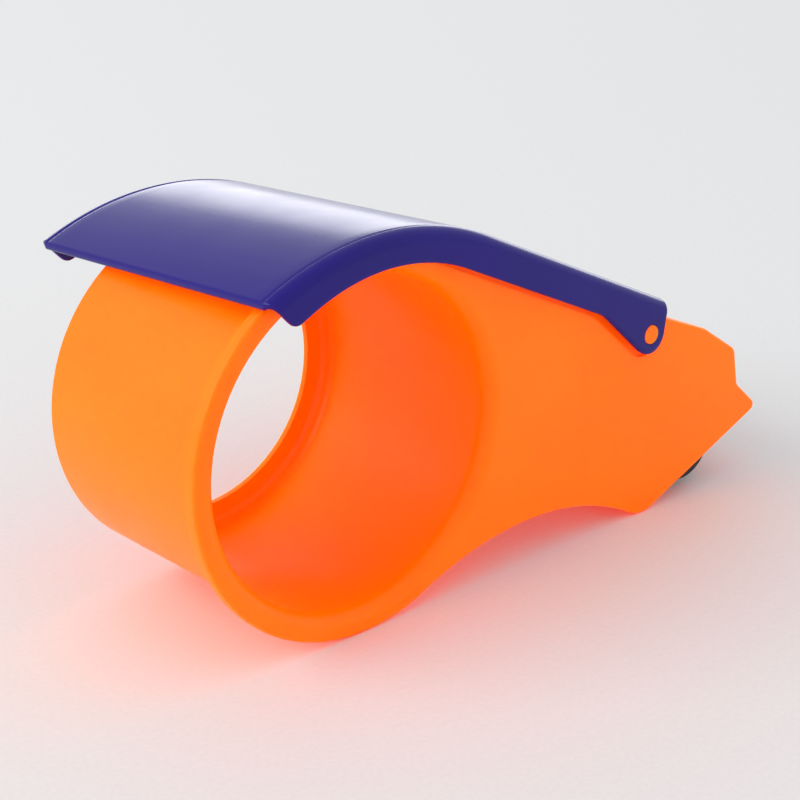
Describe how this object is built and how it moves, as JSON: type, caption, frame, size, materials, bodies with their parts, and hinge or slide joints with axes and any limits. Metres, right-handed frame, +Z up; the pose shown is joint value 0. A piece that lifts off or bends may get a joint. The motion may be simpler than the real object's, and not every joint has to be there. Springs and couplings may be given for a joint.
{
  "type": "packing tape dispenser",
  "caption": "Hand-held carton tape dispenser: roll hub on one side, head with roller and toothed cutter, hinged cover over the roll.",
  "frame": {"origin": "on the hub's axis, half way along the tube's straight wall", "axes": "+X forward from the hub towards the nose, +Y along the hub's axis towards its open end, +Z up"},
  "size_m": [0.165, 0.0797, 0.0846],
  "materials": {
    "orange_plastic": "glossy translucent moulding",
    "blue_plastic": "glossy moulding",
    "steel": "ground",
    "blade_steel": "stamped and ground",
    "zinc": "bright zinc plate",
    "white_plastic": "satin moulding",
    "nylon": "natural",
    "black_rubber": "matte",
    "black_plastic": "fine texture",
    "clear_film": "clear film"
  },
  "bodies": {
    "frame": {"frame": "orange_plastic", "far_cheek": "orange_plastic", "roller_axle": "steel", "roller_washer_near": "nylon", "roller_washer_far": "nylon", "blade": "blade_steel", "blade_clamp": "black_plastic", "blade_screws": "zinc", "tongue": "clear_film", "tongue_strip": "steel", "tongue_screws": "zinc", "cheek_screws": "zinc"},
    "cover": {"cover": "blue_plastic"},
    "roller": {"roller_core": "white_plastic", "roller_sleeve": "black_rubber"}
  },
  "joints": [
    {"name": "cover_hinge", "type": "hinge", "parent": "frame", "child": "cover", "pos_m": [0.0834, 0.00525, 0.0036], "axis": [0, 1, 0], "range_deg": [0, 24]},
    {"name": "roller_spin", "type": "hinge", "parent": "frame", "child": "roller", "pos_m": [0.103, 0.00525, -0.0295], "axis": [0, 1, 0], "continuous": true}
  ]
}
